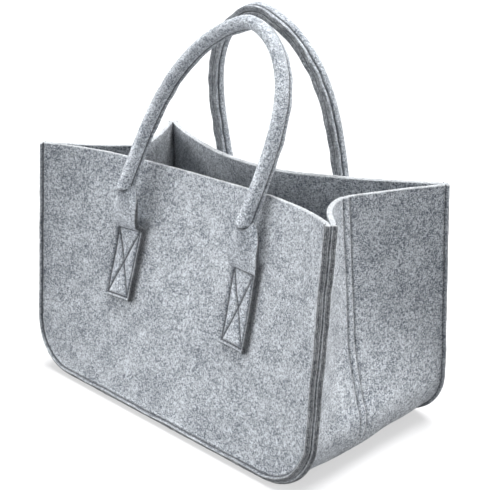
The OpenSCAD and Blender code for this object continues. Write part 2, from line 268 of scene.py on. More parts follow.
def addBump(tree, shader, height, strength, distance):
    bump = tree.nodes.new("ShaderNodeBump")
    bump.inputs["Strength"].default_value = strength
    bump.inputs["Distance"].default_value = distance
    tree.links.new(height, bump.inputs["Height"])
    tree.links.new(bump.outputs[0], shader.inputs["Normal"])


def feltMaterial(name, scale=1.0, shade=1.0, contrast=1.0, clumps=0.5, bump=1.0):
    mat, tree, shader, place = startMaterial(name, 0.92)
    group = tree.nodes.new("ShaderNodeGroup")
    group.node_tree = melange
    tree.links.new(place, group.inputs["Coordinates"])
    group.inputs["Scale"].default_value = scale
    group.inputs["Contrast"].default_value = feltLook["contrast"] * contrast
    group.inputs["Clumps"].default_value = clumps
    for label in ("Dark", "Middle", "Light"):
        group.inputs[label].default_value = [c * shade for c in feltLook[label.lower()][:3]] + [1]
    for label in ("Pressed", "Rim", "Ply"):
        attribute = tree.nodes.new("ShaderNodeAttribute")
        attribute.attribute_name = label.lower()
        tree.links.new(attribute.outputs["Fac"], group.inputs[label])
    tree.links.new(group.outputs["Color"], shader.inputs["Base Color"])
    tree.links.new(group.outputs["Roughness"], shader.inputs["Roughness"])
    shader.inputs["Sheen Weight"].default_value = feltLook["sheen"]
    shader.inputs["Sheen Roughness"].default_value = 0.55
    addBump(tree, shader, group.outputs["Height"], feltLook["bump"] * bump, 0.0009)
    return mat


def yarnMaterial(name, base, shadow, twist=1.0):
    mat, tree, shader, place = startMaterial(name, 0.7)
    group = tree.nodes.new("ShaderNodeGroup")
    group.node_tree = yarn
    tree.links.new(place, group.inputs["Coordinates"])
    group.inputs["Twist"].default_value = twist
    group.inputs["Base"].default_value = base
    group.inputs["Shadow"].default_value = shadow
    tree.links.new(group.outputs["Color"], shader.inputs["Base Color"])
    shader.inputs["Sheen Weight"].default_value = 0.15
    addBump(tree, shader, group.outputs["Height"], 0.6, 0.0002)
    return mat


# One felt at different shades: handleFelt and strapRawEdge are made paler, a painted highlight for the light
# the handles catch; feltRawEdge is darker, partly fibres seen end-on and partly painted shade
panelFelt = feltMaterial("panelFelt")
gussetFelt = feltMaterial("gussetFelt", contrast=1.05)
handleFelt = feltMaterial("handleFelt", shade=1.17, contrast=0.85, clumps=0.4)
rawEdge = feltMaterial("feltRawEdge", scale=1.1, shade=0.72, contrast=0.9, clumps=0.9, bump=1.6)
strapEdge = feltMaterial("strapRawEdge", scale=1.1, shade=1.15, contrast=1.0, clumps=0.9, bump=1.6)
threadYarn = yarnMaterial("sewingThread", (0.13, 0.14, 0.16, 1), (0.03, 0.033, 0.04, 1), 2.0)
cordYarn = yarnMaterial("fillerCord", (0.66, 0.64, 0.58, 1), (0.3, 0.28, 0.25, 1), 0.8)
print("materials made")

# The bag's cut and slump, in millimetres

bag = {
    "seamWidth": 396, "height": 256, "baseDepth": 206, "topDepth": 174, "cornerRadius": 50,
    "felt": 5.0, "margin": 7.0, "gap": 0.4,
    "bow": 54, "bowPower": {-1: 2.5, 1: 1.9}, "bowSkew": {-1: 0.12, 1: 0.0},  # front -1, back 1
    "foldDrop": 6, "cornerSwell": 4, "crease": 10, "backPull": 8,
    "bend": 2.1,  # softness of the seam's bend
    "splay": 1.4,  # how far the two raw edges open at their tips
    "pinch": 1.1, "pinchWidth": 1.0,  # the groove that the seam's thread pulls in
    "press": 0.5, "pressWidth": 1.5,  # how far the thread presses the two layers into each other
    "threadIn": 2.6,  # from the seam's inner corner to its thread, along one axis
    "wander": 0.45,  # how far the seam's margins wave
    "relief": 0.9,  # slow unevenness of the panels
    "besideTab": 4.2, "besideNarrow": 1.8, "besideDepth": 0.75,  # the shade beside a tab
}

# The handles' strips, from tab to tab; pairs are for the front, -1, and the back, 1

handle = {
    "legX": 86, "tabWidth": 36, "archWidth": 31, "archHeight": 187, "crease": 226, "flex": 187,
    "lean": {-1: 22, 1: 14}, "slant": {-1: 0.12, 1: 0.0}, "archY": {-1: -79, 1: 81},
    "archSides": 1.32, "archTop": 0.54,  # powers that shape the arch
    "tabLow": 105, "boxTop": 178, "boxWidth": 29, "boxIn": (3, 1), "standOff": 3,
    "foldTurn": 193, "foldRadius": 4, "unfold": 2.1,  # the fold's turn, and how it opens towards a tab
    "seamIn": 4.5, "groove": 1.1, "grooveWidth": 1.15, "seamFrom": 0.8,  # sewn from this share of the fold
    "boxGroove": 1.3, "boxGrooveWidth": 1.4, "boxMark": 1.2,
    "tabPuff": 0.35, "puffReach": 6, "borderRise": 0.8, "borderReach": 3,
    "seamWave": 0.4, "edgeShade": 0.85, "bendZone": (178.5, 198.5),
}
halfWidth = bag["seamWidth"] / 2
felt = bag["felt"]
tip = bag["margin"] / math.sqrt(2)
seamBase = tip + felt / math.sqrt(2)
wallHeight = bag["height"] - seamBase
straight = halfWidth - bag["cornerRadius"]
sideStart = seamBase + bag["cornerRadius"]


def seamY(z):
    fall = (bag["baseDepth"] - bag["topDepth"]) / 2
    return bag["baseDepth"] / 2 - fall * np.maximum(0, z - seamBase) / wallHeight


def pull(p):
    # The top of the back is drawn in a little at both sides
    rise = np.clip((p[..., 2] - seamBase) / wallHeight, 0, 1)
    back = np.clip(p[..., 1] / bag["topDepth"] + 0.5, 0, 1)
    q = p.copy()
    q[..., 0] *= 1 - bag["backPull"] / halfWidth * rise * back
    return q


def bow(x, face):
    # How far a rim bows in at column x
    u = x / halfWidth
    depth = bag["bow"] * (1 - np.abs(u) ** bag["bowPower"][face])
    return depth * (1 - bag["bowSkew"][face] * u)


def seamHeight(x):
    over = np.maximum(0, np.abs(x) - straight)
    return sideStart - np.sqrt(np.maximum(0, bag["cornerRadius"] ** 2 - over ** 2))


def fromSeam(x, z):
    # Distance inward from the seam's line, in the flat panel
    qx, qz = np.abs(x) - straight, sideStart - z
    outside = np.hypot(np.maximum(qx, 0), np.maximum(qz, 0))
    return bag["cornerRadius"] - outside - np.minimum(np.maximum(qx, qz), 0)


def relief(x, z, face):
    # A slow unevenness, nothing at the seams
    a = np.sin(x * 0.031 + 1.3 * face) * np.sin(z * 0.037 + 0.6)
    a = a + 0.6 * np.sin(x * 0.058 - z * 0.043 + face) + 0.45 * np.sin(x * 0.011 + z * 0.089 + 2.1 * face)
    a = a + 0.25 * np.sin(x * 0.13 + 1.7) * np.sin(z * 0.11)
    return bag["relief"] * 0.6 * a * np.clip(fromSeam(x, z) / 40, 0, 1) ** 1.5


def softCorner(a, width):
    # max(0, a) with its corner rounded
    t = a / width
    spread = np.vectorize(math.erf)(t / math.sqrt(2))
    return a * 0.5 * (1 + spread) + width * np.exp(-t * t / 2) / math.sqrt(2 * math.pi)


def panelLean(x, zb, face):
    # Sine and cosine of the panel's lean in column x, whose seam is at height zb
    inward = seamY(zb) - seamY(bag["height"])
    s = (inward + bow(x, face)) / np.hypot(bag["height"] - zb, inward)
    return s, np.sqrt(1 - s * s)


def panelPoint(x, zb, length, face, out):
    # A point of the panel, length up column x from its seam and out above its inner face
    s, c = panelLean(x, zb, face)
    bend = softCorner(-fromSeam(x, zb + length), bag["bend"])
    lifted = out + bend + relief(x, zb + length, face)
    return np.stack([x, face * (seamY(zb) + bag["gap"] - s * length + c * lifted),
                     zb + c * length + s * lifted], -1)


def panelAt(x, z, face, out):
    zb = seamHeight(x)
    return panelPoint(x, zb, (z - zb) / panelLean(x, zb, face)[1], face, out)


def wander(x, z, face):
    # Small waves of the seam's margins, the same for both layers
    s = x * 0.9 + z * 1.1
    w = np.sin(s * 0.071 + face) + 0.7 * np.sin(s * 0.137 + 2 * face) + 0.4 * np.sin(s * 0.29)
    return bag["wander"] * 0.5 * w


# One felt sheet with thickness: rounded raw edges all round

edgeLook = {"round": 0.75, "fuzz": 0.16, "seed": 5, "rim": 0.9, "topRim": 1.0}  # rims are paler, partly loose fibres and partly a painted highlight
edgeProfile = [  # share of the thickness, and how far out
    (0.05, -0.45), (0.16, -0.1), (0.34, 0.12), (0.5, 0.2), (0.66, 0.12), (0.84, -0.1), (0.95, -0.45)]


def meshObject(name, points, faces, materials, kinds):
    mesh = bpy.data.meshes.new(name)
    mesh.from_pydata((points * 0.001).tolist(), [], faces.tolist())
    for mat in materials:
        mesh.materials.append(mat)
    mesh.polygons.foreach_set("use_smooth", np.ones(len(mesh.polygons), dtype=bool))
    mesh.polygons.foreach_set("material_index", kinds)
    mesh.update()
    return placeObject(name, mesh)


def vertexNormals(points, faces):
    p = points[faces]
    n = np.cross(p[:, 2] - p[:, 0], p[:, 3] - p[:, 1])
    total = np.zeros_like(points)
    for k in range(4):
        np.add.at(total, faces[:, k], n)
    return total / np.maximum(np.linalg.norm(total, axis=1, keepdims=True), 1e-12)


def feltSolid(name, points, faces, low, high, materials, pressed, edgeShade=None, floor=None):
    # points and faces are one surface; low and high are how far the two faces of the felt
    # lie from it along its normals
    normals = vertexNormals(points, faces)
    count = len(points)
    below = points + normals * np.broadcast_to(low, count)[:, None]
    above = points + normals * np.broadcast_to(high, count)[:, None]
    starts = faces.reshape(-1)
    ends = np.roll(faces, -1, axis=1).reshape(-1)
    reverse = set(zip(ends.tolist(), starts.tolist()))
    pairs = zip(starts.tolist(), ends.tolist())
    edges = np.array([(a, b) for a, b in pairs if (a, b) not in reverse and a != b])
    rimPoints = np.unique(edges)
    ringEdges = 2 * count + np.searchsorted(rimPoints, edges)
    side = np.cross(points[edges[:, 1]] - points[edges[:, 0]], normals[edges[:, 0]] + normals[edges[:, 1]])
    outward = np.zeros((len(rimPoints), 3))
    np.add.at(outward, ringEdges.reshape(-1) - 2 * count, np.repeat(side, 2, axis=0))
    outward /= np.maximum(np.linalg.norm(outward, axis=1, keepdims=True), 1e-12)
    inset = edgeLook["round"]
    rng = np.random.default_rng(edgeLook["seed"])
    lowRim, highRim = below[rimPoints], above[rimPoints]
    rings = []
    for share, out in edgeProfile:
        fuzz = rng.normal(0, edgeLook["fuzz"], len(rimPoints)) * (1 - abs(2 * share - 1))
        rings.append(lowRim * (1 - share) + highRim * share + outward * (out * inset + fuzz)[:, None])
    below[rimPoints] -= outward * inset
    above[rimPoints] -= outward * inset
    allPoints = np.concatenate([below, above] + rings)
    if floor is not None:
        allPoints[:, 2] = np.maximum(allPoints[:, 2], floor)
    # Walls run from the lower face through each ring to the upper one
    steps = [edges] + [ringEdges + k * len(rimPoints) for k in range(len(rings))] + [count + edges]
    walls = [np.concatenate([upper[:, ::-1], lower], axis=1) for lower, upper in zip(steps, steps[1:])]
    quads = np.concatenate([faces[:, ::-1], faces + count, np.stack(walls, 1).reshape(-1, 4)])
    kinds = np.zeros(len(quads), dtype=np.int32)
    kinds[2 * len(faces):] = 1
    obj = meshObject(name, allPoints, quads, materials, kinds)
    # What the material reads: where the felt is darkened, partly pressed by stitches and partly painted
    # shade; a painted highlight near a cut, partly loose fibres; and which ply
    marks = {label: np.zeros(len(allPoints)) for label in ("pressed", "rim", "ply")}
    marks["pressed"][count:2 * count] = pressed
    # edgeShade is painted shade on the cut edges; it also dims their painted highlight
    shaded = np.zeros(count) if edgeShade is None else edgeShade
    rimHere = edgeLook["rim"] * (1 - 0.75 * shaded[rimPoints])
    marks["rim"][rimPoints] = rimHere
    marks["rim"][count + rimPoints] = rimHere
    pale = np.clip(outward[:, 2] * 3 - 1.4, 0, 1) * edgeLook["topRim"]  # a painted highlight on edges that face up, where the top light falls
    for k, (share, _) in enumerate(edgeProfile):
        ring = 2 * count + k * len(rimPoints) + np.arange(len(rimPoints))
        marks["ply"][ring] = share
        marks["pressed"][ring] = shaded[rimPoints] * (1 - abs(2 * share - 1) ** 8)
        marks["rim"][ring] = np.maximum(pale, rimHere * abs(2 * share - 1) ** 3)
    for label, values in marks.items():
        attribute = obj.data.attributes.new(label, "FLOAT", "POINT")
        attribute.data.foreach_set("value", values.astype(np.float32))
    return obj, above, normals


def gridFaces(rows, cols, flip=False):
    r, c = np.meshgrid(np.arange(rows - 1), np.arange(cols - 1), indexing="ij")
    a = (r * cols + c).reshape(-1)
    quads = np.stack([a, a + 1, a + cols + 1, a + cols], -1)
    return quads[:, ::-1] if flip else quads


# Panels

panelCut = {"arcSteps": 24, "baseSteps": 86, "topRows": 58,
            "nearSeam": [0, 0.9, 1.8, 2.7, 3.6, 4.6, 5.8, 7.2, 9, 11.5, 15, 19],
            "wideRows": (24, 244), "nearTop": [245.7, 247],
            "marginSteps": [0.8, 1.7, 2.6, 3.5, 4.3]}


def panelColumns():
    a = np.radians(90 * np.arange(panelCut["arcSteps"] + 1) / panelCut["arcSteps"])
    left = np.stack([-straight - bag["cornerRadius"] * np.cos(a),
                     sideStart - bag["cornerRadius"] * np.sin(a), -np.cos(a), -np.sin(a)], -1)
    x = np.linspace(-straight, straight, panelCut["baseSteps"] + 1)[1:-1]
    base = np.stack([x, np.full_like(x, seamBase), np.zeros_like(x), -np.ones_like(x)], -1)
    right = left[::-1] * np.array([-1, 1, -1, 1])
    return np.concatenate([left, base, right])


def tabDistance(x, z):
    # From the outline of the tabs, as they lie on a panel
    sideways = np.abs(np.abs(x) - handle["legX"]) - handle["tabWidth"] / 2
    upright = np.maximum(handle["tabLow"] - z, z - handle["flex"])
    narrow = bag["besideNarrow"]
    leeward = np.where(np.abs(x) * x > handle["legX"] * x, 1.0, narrow)  # less of it on a tab's left
    return np.hypot(np.maximum(sideways, 0) * leeward, np.maximum(upright, 0) * narrow)


def makePanel(face):
    columns = panelColumns()
    cols = len(columns)
    height = bag["height"]
    wide = np.linspace(*panelCut["wideRows"], panelCut["topRows"]).tolist()
    lengths = np.array(panelCut["nearSeam"] + wide + panelCut["nearTop"]) / panelCut["nearTop"][-1]
    rows = len(lengths)
    full = np.hypot(height - columns[:, 1], seamY(columns[:, 1]) - seamY(height))
    x = np.tile(columns[:, 0], (rows, 1))
    zb = np.tile(columns[:, 1], (rows, 1))
    sheet = panelPoint(x, zb, lengths[:, None] * full[None, :], face, 0.0).reshape(-1, 3)
    # The U of the seam, from the left top round to the right top
    ring = ([j * cols for j in range(rows - 1, 0, -1)] + list(range(cols))
            + [j * cols + cols - 1 for j in range(1, rows)])
    ways = np.array([[-1, 0]] * (rows - 1) + columns[:, 2:4].tolist() + [[1, 0]] * (rows - 1))
    seam = sheet[ring]
    start = softCorner(np.array([0.0]), bag["bend"])[0]
    extra = []
    steps = panelCut["marginSteps"] + [tip]
    sway = wander(seam[:, 0], seam[:, 2], face)
    for a in steps:
        b = softCorner(np.array([a]), bag["bend"])[0] - start + bag["splay"] * (a / tip) ** 2
        wave = sway * (a / tip) ** 2
        p = seam.copy()
        p[:, 0] += ways[:, 0] * (a - wave)
        p[:, 2] += ways[:, 1] * (a - wave)
        p[:, 1] += face * (b + wave)
        extra.append(p)
    count, k = len(sheet), len(ring)
    points = np.concatenate([sheet] + extra)
    margin = np.concatenate([ring, count + np.arange(len(steps) * k)]).reshape(-1, k)
    strips = np.stack([margin[:-1, :-1], margin[1:, :-1], margin[1:, 1:], margin[:-1, 1:]], -1).reshape(-1, 4)
    faces = np.concatenate([gridFaces(rows, cols, flip=face > 0), strips if face < 0 else strips[:, ::-1]])
    points = pull(points)
    fromThread = np.repeat(np.array(steps) - bag["threadIn"], k)
    pinch = np.concatenate([np.zeros(count), np.exp(-(fromThread / bag["pinchWidth"]) ** 2)])
    press = np.concatenate([np.zeros(count), np.exp(-(fromThread / bag["pressWidth"]) ** 2)])
    # Beside a tab the panel gets painted shade; along the seam's pinch it is darkened too, partly pressed
    # felt and partly painted shade
    beside = np.exp(-(tabDistance(points[:, 0], points[:, 2]) / bag["besideTab"]) ** 2)
    name = "frontPanelFelt" if face < 0 else "backPanelFelt"
    obj, above, normals = feltSolid(name, points, faces, -bag["press"] * press,
                                    felt - bag["pinch"] * pinch, [panelFelt, rawEdge],
                                    np.maximum(pinch, bag["besideDepth"] * beside), floor=0.0)
    line = margin[1 + steps.index(bag["threadIn"])]
    return obj, (above[line], normals[line])


frontPanel, frontSeamLine = makePanel(-1)
backPanel, backSeamLine = makePanel(1)
print("panels made")

# Gusset

gussetCut = {
    "sideRows": 56, "middleSteps": (0.6, 30, 1.2), "webSteps": 17, "webFrom": 32, "webIn": 9.5,
    "nearSeam": [0, 0.9, 1.8, 2.8, 4, 5.5, 7.5], "nearTop": [2.5, 1.3, 0],
    "fine": 0.5, "smooth": 2.0, "reach": 12,  # the profile's rounding: step, softness and reach
    "creaseDepth": 1.1, "creaseWidth": 1.6, "creaseRidge": 0.6, "ridgeWidth": 3.2, "creaseFade": 7,
    "creaseShift": 30,  # how far the creases run to the front at the base
    "foldStart": 2, "foldFull": 115,  # heights above the base where the fold begins and is full
    "foldPower": 1.3, "frontPower": 1.6, "backPower": 1.25, "dropPower": 1.4,  # how round the profiles are
    "uneven": 0.42, "pinchWidth": 0.9, "pressedShade": 0.65,
}


def foldIn(z):
    start, full = gussetCut["foldStart"], gussetCut["foldFull"]
    rise = np.clip((z - seamBase - start) / (full - start), 0, 1)
    depth = math.sqrt(max(0, (bag["baseDepth"] / 2) ** 2 - seamY(z) ** 2))
    return math.sin(math.pi / 2 * rise) ** gussetCut["foldPower"] * depth


def makeGusset():
    columns = panelColumns()
    top = bag["height"] - np.array(gussetCut["nearTop"])
    up = np.concatenate([np.linspace(sideStart, top[0], gussetCut["sideRows"] + 1)[1:], top[1:]])
    left = np.stack([np.full_like(up, -halfWidth), up, -np.ones_like(up), np.zeros_like(up)], -1)[::-1]
    right = left[::-1] * np.array([-1, 1, -1, 1])
    run = np.concatenate([left, columns, right])
    crease = bag["crease"] / 2
    reach, fine = gussetCut["reach"], gussetCut["fine"]
    margins = np.array(panelCut["marginSteps"] + [tip])
    near = np.array(gussetCut["nearSeam"])
    middle = np.arange(*gussetCut["middleSteps"])
    t = np.arange(-reach, reach + 0.01, fine)
    kernel = np.exp(-(t / gussetCut["smooth"]) ** 2 / 2)
    rowsOut, pinches, presses, ridges = [], [], [], []
    for x, z, nx, nz in run:
        h = float(seamY(z))
        fold = foldIn(z)
        swell = bag["cornerSwell"] * 2 * abs(nx * nz)
        b = np.arange(-h - tip - reach, h + tip + reach, fine)
        rise = max(0.0, (z - seamBase) / wallHeight)
        middleY = -gussetCut["creaseShift"] * (1 - rise) ** 3
        halfWeb = h + np.where(b < middleY, middleY, -middleY)
        v = np.clip(np.maximum(np.abs(b - middleY), crease) / halfWeb, 0, 1)
        share = 1 - v ** np.where(b < middleY, gussetCut["frontPower"], gussetCut["backPower"])
        a = (swell - fold) * share + np.maximum(0, np.abs(b) - h)
        a = np.pad(a, len(t) // 2, mode="reflect", reflect_type="odd")
        a = np.convolve(a, kernel / kernel.sum(), "valid")
        web = np.linspace(gussetCut["webFrom"], h - gussetCut["webIn"], gussetCut["webSteps"])
        half = np.concatenate([middle, web, (h - near)[::-1], h + margins])
        places = np.concatenate([-half[::-1], [0.0], half])
        outset = np.interp(places, b, a[:len(b)])
        over = np.maximum(0, np.abs(places) - h)
        drop = 1 - np.clip(np.abs(places) / h, 0, 1) ** gussetCut["dropPower"]
        drop = bag["foldDrop"] * rise * drop * (nz == 0)
        splay = bag["splay"] * (over / tip) ** 2
        face = np.sign(places)
        wave = (wander(x, z, -1) * (face < 0) + wander(x, z, 1) * (face > 0)) * (over / tip) ** 2
        # Slow unevenness of the web
        uneven = gussetCut["uneven"] * np.clip((h - np.abs(places)) / 30, 0, 1) * (
            np.sin(places * 0.06 + z * 0.045 + x * 0.01) + 0.6 * np.sin(places * 0.11 - z * 0.07 + x * 0.05))
        outset = outset + splay - wave + uneven
        shift = face * wave
        rowsOut.append(np.stack([x + outset * nx, places + shift, z + outset * nz - drop], -1))
        # The creases and the seam's thread press the web in, and the same pinch darkens it through
        # pressedShade: partly pressed felt, partly painted shade
        fromCrease = np.abs(places - middleY)
        pressed = gussetCut["creaseDepth"] * np.exp(-((fromCrease - crease) / gussetCut["creaseWidth"]) ** 2)
        ridge = gussetCut["creaseRidge"] * np.exp(-(fromCrease / gussetCut["ridgeWidth"]) ** 2)
        creased = min(1, fold / gussetCut["creaseFade"])
        ridges.append(ridge * creased)
        fromThread = over - bag["threadIn"]
        sewn = bag["pinch"] * np.exp(-(fromThread / gussetCut["pinchWidth"]) ** 2) * (over > 0)
        pinches.append(pressed * creased + sewn)
        presses.append(bag["press"] * np.exp(-(fromThread / bag["pressWidth"]) ** 2) * (over > 0))
    rows, cols = len(rowsOut), len(rowsOut[0])
    points = pull(np.array(rowsOut).reshape(-1, 3))
    ridges, pinches, presses = (np.array(v).reshape(-1) for v in (ridges, pinches, presses))
    obj, above, normals = feltSolid("gussetFelt", points, gridFaces(rows, cols), -presses,
                                    felt + (ridges - pinches), [gussetFelt, rawEdge],
                                    pinches * gussetCut["pressedShade"], floor=0.0)
    at = list(margins).index(bag["threadIn"])
    lines = []
    for col in (len(margins) - 1 - at, cols - len(margins) + at):
        line = np.arange(rows) * cols + col
        lines.append((above[line], normals[line]))
    return obj, lines


gusset, gussetSeamLines = makeGusset()
print("gusset made")

# Handles

def flexY(face):
    # The strip flexes where it stands off the panel, without the panel's slow unevenness
    x = np.array([handle["legX"] + handle["tabWidth"] / 2])
    z = np.array([handle["flex"]])
    zb = seamHeight(x)
    c = panelLean(x, zb, face)[1]
    p = panelAt(x, z, face, felt + handle["standOff"])
    return float((p[:, 1] - face * c * relief(x, zb + (z - zb) / c, face))[0])


def legAt(face):
    p = np.array([[handle["legX"], flexY(face), handle["flex"]]], dtype=float)
    return float(pull(p)[0, 0])


def tabPoint(side, face, u, z, out):
    u, z = np.broadcast_arrays(np.asarray(u, dtype=float), np.asarray(z, dtype=float))
    on = pull(panelAt(side * handle["legX"] + u, np.minimum(z, handle["boxTop"]), face,
                      felt + bag["gap"] + out))
    free = np.stack([side * legAt(face) + u, np.full_like(u, flexY(face)) + face * out,
                     np.full_like(u, handle["flex"])], -1)
    t = np.clip((z - handle["boxTop"]) / (handle["flex"] - handle["boxTop"]), 0, 1)[..., None]
    return on * (1 - t) + free * t


def archPoint(face, degrees):
    a = np.radians(degrees)
    u = -legAt(face) * np.sign(np.cos(a)) * np.abs(np.cos(a)) ** handle["archSides"]
    w = handle["archHeight"] * np.clip(np.sin(a), 0, 1) ** handle["archTop"]
    lean = math.radians(handle["lean"][face])
    return np.stack([u + handle["slant"][face] * w, handle["archY"][face] - face * w * math.sin(lean),
                     handle["crease"] + w * math.cos(lean)], -1)


def alongLine(points):
    # Distance along a line of points
    return np.concatenate([[0], np.cumsum(np.linalg.norm(np.diff(points, axis=0), axis=1))])


def evenArch(face, count):
    # Points of the arch at even distances
    half = 90 * np.linspace(0, 1, 900) ** 2.2
    fine = archPoint(face, np.concatenate([half, (180 - half)[::-1][1:]]))
    run = alongLine(fine)
    even = np.linspace(0, run[-1], count)
    return np.stack([np.interp(even, run, fine[:, k]) for k in range(3)], -1), run[-1]


def unit(v):
    return v / np.linalg.norm(v, axis=-1, keepdims=True)


def smoothRows(values, passes):
    for _ in range(passes):
        values = np.concatenate([values[:1], (values[:-2] + 2 * values[1:-1] + values[2:]) / 4, values[-1:]])
    return values


def boxLines():
    # The box stitch and its cross, on the flat tab
    w = handle["boxWidth"] / 2
    low, high = handle["tabLow"] + handle["boxIn"][0], handle["boxTop"] - handle["boxIn"][1]
    return [((-w, low), (w, low)), ((w, low), (w, high)), ((w, high), (-w, high)), ((-w, high), (-w, low)),
            ((-w, low), (w, high)), ((w, low), (-w, high))]


def boxDistance(u, z):
    best = np.full(np.shape(u), 1e9)
    for (ax, ay), (bx, by) in boxLines():
        dx, dy = bx - ax, by - ay
        t = np.clip(((u - ax) * dx + (z - ay) * dy) / (dx * dx + dy * dy), 0, 1)
        best = np.minimum(best, np.hypot(u - ax - t * dx, z - ay - t * dy))
    return best


strapCut = {
    "tabRows": 50, "topRows": 8, "flareRows": 44, "archRows": 290,
    "middle": (0, 0.46, 14),
    "edges": [0.51, 0.56, 0.60, 0.64, 0.67, 0.69, 0.71, 0.73, 0.75, 0.78, 0.82, 0.86, 0.90, 0.94, 0.975, 1.0],
}


def strapPath(face):
    # The folding part's middle line, how far the strip is folded along it, and the arch's length
    arch, archLength = evenArch(face, strapCut["archRows"])
    legs = {}
    for side, top in ((-1, arch[0]), (1, arch[-1])):
        low = np.array([side * legAt(face), flexY(face) + face * felt / 2, handle["flex"]])
        t = np.arange(1, strapCut["flareRows"]) / strapCut["flareRows"]
        legs[side] = (low + (top - low) * t[:, None], t ** handle["unfold"])
    path = np.concatenate([legs[-1][0], arch, legs[1][0][::-1]])
    fold = np.concatenate([legs[-1][1], np.ones(len(arch)), legs[1][1][::-1]])
    return path, fold, archLength


def foldedRows(face, places, path, fold, width):
    # The strip along its path, folded lengthwise with its round side out of the bag
    along = unit(smoothRows(unit(np.gradient(path, axis=0)), 10))
    lean = math.radians(handle["lean"][face])
    tilt = np.where(fold < 1, lean * np.maximum(0, fold * 2 - 1), lean)
    up = np.stack([0 * tilt, face * np.cos(tilt), np.sin(tilt)], -1)
    out = unit(up - (up * along).sum(-1, keepdims=True) * along)
    across = unit(np.cross(along, out))
    s = places[None, :] * width[:, None]
    turn = math.radians(handle["foldTurn"]) / 2
    foldBend = handle["foldRadius"] * turn
    k = np.maximum(fold, 1e-3)[:, None] * turn / foldBend
    angle = k * np.minimum(np.abs(s), foldBend)
    rest = np.maximum(0, np.abs(s) - foldBend)
    sideways = np.sign(s) * (np.sin(angle) / k + rest * np.cos(angle))
    inward = (1 - np.cos(angle)) / k + rest * np.sin(angle)
    # The sewn edges wander together
    run = alongLine(path)
    loose = handle["seamWave"] * (np.abs(places)[None, :] * fold[:, None]) ** 3
    sideways = sideways + loose * (np.sin(run * 0.23 + face) + 0.7 * np.sin(run * 0.097 + 2))[:, None]
    inward = inward + loose * (np.sin(run * 0.17 + 1) + 0.6 * np.sin(run * 0.31 + face))[:, None]
    return path[:, None, :] + across[:, None, :] * sideways[..., None] - out[:, None, :] * inward[..., None]


creaseArc = {
    "ahead": 2.5, "curve": 0.05, "shift": 2.5, "width": 1.1, "across": 9.5, "depth": 2.0,
    "rollAt": 3.4, "rollWidth": 2.2, "rollHeight": 0.8,
}


